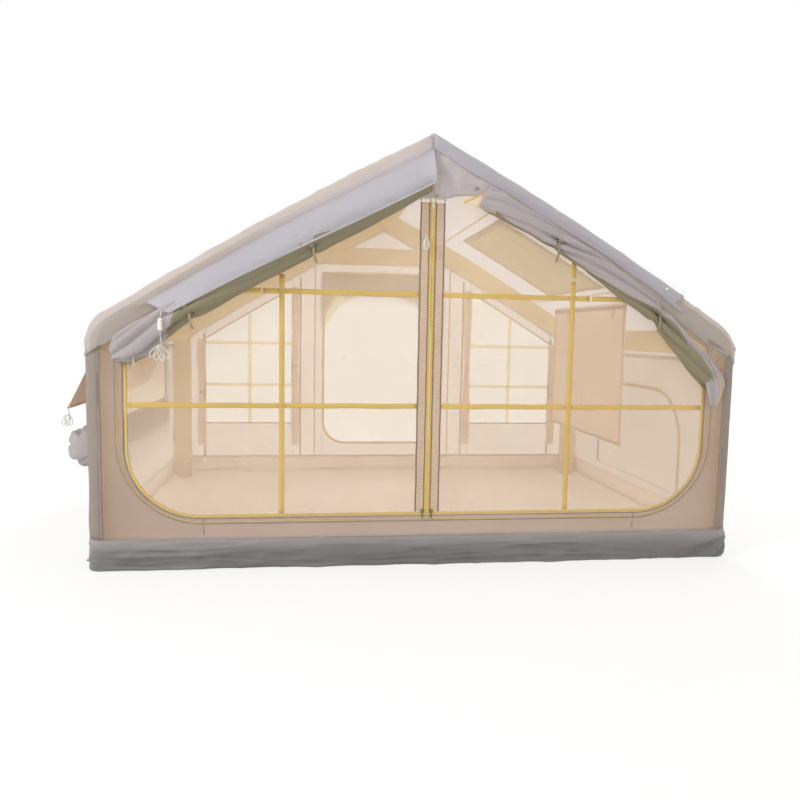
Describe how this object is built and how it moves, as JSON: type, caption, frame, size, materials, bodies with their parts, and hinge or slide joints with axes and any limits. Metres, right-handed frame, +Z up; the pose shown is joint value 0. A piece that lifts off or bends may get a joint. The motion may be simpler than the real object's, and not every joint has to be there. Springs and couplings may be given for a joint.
{
  "type": "inflatable house tent",
  "caption": "House-shaped tent on inflated air beams, with a mesh front opening zipped in two halves, rolled fabric doors, windows, a side door and a skylight.",
  "frame": {"origin": "middle of the floor's underside, on the ground", "axes": "+X to the right seen from the front, along the wide side; the front with its mesh opening faces -Y; +Z up"},
  "size_m": [3.1726, 2.309, 1.9531],
  "materials": {
    "roof_cloth": "matt coated cloth, lavender grey",
    "wall_cloth": "matt cotton cloth, warm beige",
    "tub_cloth": "coated floor cloth, dark grey",
    "sleeve_cloth": "woven sleeve cloth, amber",
    "bladder_film": "airtight film, milky",
    "insect_mesh": "fine woven mesh, sand",
    "yellow_tape": "woven tape, yellow",
    "olive_cloth": "matt cloth, olive",
    "white_rope": "braided cord, white",
    "white_plastic": "moulded, white",
    "olive_slider": "painted slider, olive",
    "dark_plastic": "moulded, black"
  },
  "bodies": {
    "house": {"floor_tub": "tub_cloth", "front_wall": "wall_cloth", "rear_wall": "wall_cloth", "left_wall": "wall_cloth", "right_wall": "wall_cloth", "left_roof_cover": "roof_cloth", "right_roof_cover": "roof_cloth", "front_left_sleeve": "sleeve_cloth", "front_right_sleeve": "sleeve_cloth", "rear_left_sleeve": "sleeve_cloth", "rear_right_sleeve": "sleeve_cloth", "ridge_sleeve": "sleeve_cloth", "left_eave_sleeve": "sleeve_cloth", "right_eave_sleeve": "sleeve_cloth", "collar_sleeve": "sleeve_cloth", "front_arch_bladder": "bladder_film", "rear_arch_bladder": "bladder_film", "ridge_bladder": "bladder_film", "left_eave_bladder": "bladder_film", "right_eave_bladder": "bladder_film", "collar_bladder": "bladder_film", "inner_zip_track": "yellow_tape", "outer_zip_track": "yellow_tape", "left_door_roll": "roof_cloth", "right_door_roll": "roof_cloth", "left_roll_tie_upper": "roof_cloth", "left_roll_tie_lower": "roof_cloth", "right_roll_tie_upper": "roof_cloth", "right_roll_tie_lower": "roof_cloth", "left_toggle": "white_plastic", "left_rope_hank": "white_rope", "rear_door_roll": "olive_cloth", "left_rear_window": "insect_mesh", "right_rear_window": "insect_mesh", "left_rear_curtain_inner": "wall_cloth", "left_rear_curtain_outer": "wall_cloth", "right_rear_curtain_inner": "wall_cloth", "right_rear_curtain_outer": "wall_cloth", "left_window_mesh": "insect_mesh", "left_window_flap": "roof_cloth", "skylight_mesh": "insect_mesh", "inflation_valve_body": "dark_plastic"},
    "left_mesh_door": {"left_mesh_door": "insect_mesh", "left_door_webbing": "yellow_tape", "centre_rope_hank": "white_rope"},
    "right_mesh_door": {"right_mesh_door": "insect_mesh", "right_door_webbing": "yellow_tape"},
    "centre_zip_slider": {"centre_zip_slider": "olive_slider"},
    "left_inner_slider": {"left_inner_slider": "olive_slider"},
    "right_inner_slider": {"right_inner_slider": "olive_slider"},
    "left_rain_flap": {"left_rain_flap": "roof_cloth"},
    "right_rain_flap": {"right_rain_flap": "roof_cloth"},
    "skylight_cover": {"skylight_cover": "olive_cloth"},
    "awning": {"left_awning": "roof_cloth", "awning_rope_hank": "white_rope"},
    "right_side_door": {"right_side_door": "wall_cloth"},
    "rear_mesh_door": {"rear_mesh_door": "insect_mesh"},
    "hanging_curtain": {"hanging_curtain": "wall_cloth"},
    "inflation_valve_cap": {"inflation_valve_cap": "dark_plastic"},
    "inflation_valve_plunger": {"inflation_valve_plunger": "white_plastic"}
  },
  "joints": [
    {"name": "left_mesh_door_swing", "type": "hinge", "parent": "house", "child": "left_mesh_door", "pos_m": [-0.63048, -1.0478, 1.31153], "axis": [0.8675, 0, 0.4974], "range_deg": [0, 80]},
    {"name": "right_mesh_door_swing", "type": "hinge", "parent": "house", "child": "right_mesh_door", "pos_m": [0.63048, -1.0478, 1.31153], "axis": [0.8675, 0, -0.4974], "range_deg": [0, 40]},
    {"name": "centre_zip_run", "type": "slide", "parent": "house", "child": "centre_zip_slider", "axis": [0, 0, 1], "range_m": [-1.37, 0]},
    {"name": "left_inner_zip_run", "type": "slide", "parent": "house", "child": "left_inner_slider", "axis": [-1, 0, 0], "range_m": [0, 0.97]},
    {"name": "right_inner_zip_run", "type": "slide", "parent": "house", "child": "right_inner_slider", "axis": [1, 0, 0], "range_m": [0, 0.97]},
    {"name": "left_rain_flap_lift", "type": "hinge", "parent": "house", "child": "left_rain_flap", "pos_m": [-0.71752, -1.0528, 1.46335], "axis": [-0.8675, 0, -0.4974], "range_deg": [0, 120]},
    {"name": "right_rain_flap_lift", "type": "hinge", "parent": "house", "child": "right_rain_flap", "pos_m": [0.71752, -1.0528, 1.46335], "axis": [0.8675, 0, -0.4974], "range_deg": [0, 90]},
    {"name": "skylight_cover_lift", "type": "hinge", "parent": "house", "child": "skylight_cover", "pos_m": [0.48547, 0.065, 1.67489], "axis": [0, -1, 0], "range_deg": [0, 150]},
    {"name": "awning_swing", "type": "hinge", "parent": "house", "child": "awning", "pos_m": [-1.5003, 0, 0.9944], "axis": [0, 1, 0], "range_deg": [-15, 75]},
    {"name": "side_door_swing", "type": "hinge", "parent": "house", "child": "right_side_door", "pos_m": [1.5015, 0, 0.1903], "axis": [0, 1, 0], "range_deg": [0, 105]},
    {"name": "rear_mesh_door_swing", "type": "hinge", "parent": "house", "child": "rear_mesh_door", "pos_m": [0, 1.0466, 1.4997], "axis": [-1, 0, 0], "range_deg": [0, 85]},
    {"name": "hanging_curtain_swing", "type": "hinge", "parent": "house", "child": "hanging_curtain", "pos_m": [1.2, 0.125, 1.2577], "axis": [0, -1, 0], "range_deg": [-60, 18]},
    {"name": "valve_cap_turn", "type": "hinge", "parent": "house", "child": "inflation_valve_cap", "pos_m": [-1.5046, 0.9847, 0.3], "axis": [-1, 0, 0], "range_deg": [0, 90]},
    {"name": "valve_plunger_press", "type": "slide", "parent": "house", "child": "inflation_valve_plunger", "axis": [1, 0, 0], "range_m": [0, 0.006], "stiffness_N_per_m": 120}
  ]
}
